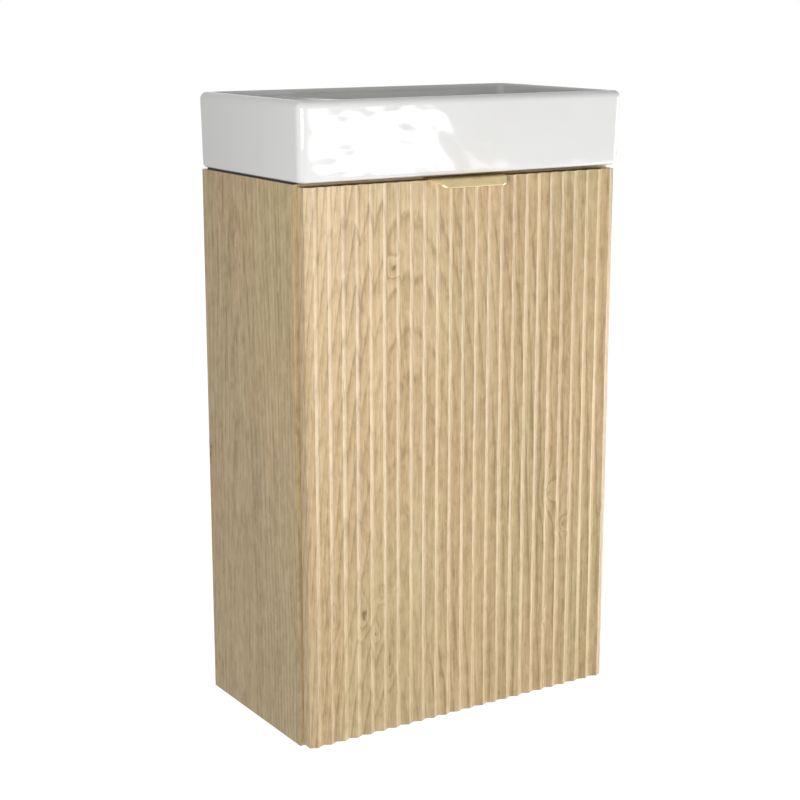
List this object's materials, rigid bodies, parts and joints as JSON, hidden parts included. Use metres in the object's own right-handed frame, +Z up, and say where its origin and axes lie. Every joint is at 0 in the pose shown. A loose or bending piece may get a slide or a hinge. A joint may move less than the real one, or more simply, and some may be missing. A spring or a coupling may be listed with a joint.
{
  "type": "vanity unit with basin",
  "caption": "Wall-hung cloakroom vanity unit: light oak cabinet with a fluted hinged door, slim edge pull, inner shelf and a rectangular white basin with a side tap ledge.",
  "frame": {"origin": "Under the middle of the whole unit's outline, level with the underside of the cabinet.", "axes": "+Z up; +X to the right as seen from the front; +Y towards the wall, so the door and handle face -Y."},
  "size_m": [0.4076, 0.237, 0.683],
  "materials": {
    "oak_board": "matt light oak decor board",
    "oak_front": "matt light oak, fluted upright",
    "white_ceramic": "high gloss white glaze",
    "handle_brass": "satin brushed brass",
    "hinge_nickel": "bright nickel plate",
    "hanger_steel": "zinc plated pressed steel",
    "fastener_steel": "zinc plated steel",
    "cam_zinc": "die-cast grey",
    "beech_dowel": "plain beech",
    "bond_silicone": "dark sealing bead",
    "clear_buffer": "soft clear buffer"
  },
  "bodies": {
    "carcass": {"side_panel_left": "oak_board", "side_panel_right": "oak_board", "bottom_panel": "oak_board", "top_front_rail": "oak_board", "top_back_rail": "oak_board", "lower_back_rail": "oak_board", "dowels": "beech_dowel", "cam_housings": "cam_zinc", "cam_bolts": "fastener_steel", "shelf": "oak_board", "shelf_pins": "fastener_steel", "wall_hanger_left": "hanger_steel", "wall_hanger_right": "hanger_steel", "hanger_screws": "fastener_steel", "basin": "white_ceramic", "basin_bond_strips": "bond_silicone", "lower_hinge_arm": "hinge_nickel", "upper_hinge_arm": "hinge_nickel", "lower_hinge_plate": "hinge_nickel", "upper_hinge_plate": "hinge_nickel", "hinge_plate_screws": "fastener_steel", "hinge_arm_screws": "fastener_steel"},
    "door": {"door_panel": "oak_front", "handle_pull": "handle_brass", "handle_screws": "fastener_steel", "door_bumpers": "clear_buffer", "lower_hinge_cup": "hinge_nickel", "upper_hinge_cup": "hinge_nickel", "lower_hinge_pin": "fastener_steel", "upper_hinge_pin": "fastener_steel", "hinge_cup_screws": "fastener_steel"}
  },
  "joints": [
    {"name": "door_hinge", "type": "hinge", "parent": "carcass", "child": "door", "pos_m": [0.19, -0.0955, 0.3], "axis": [0, 0, 1], "range_deg": [0, 95]}
  ]
}
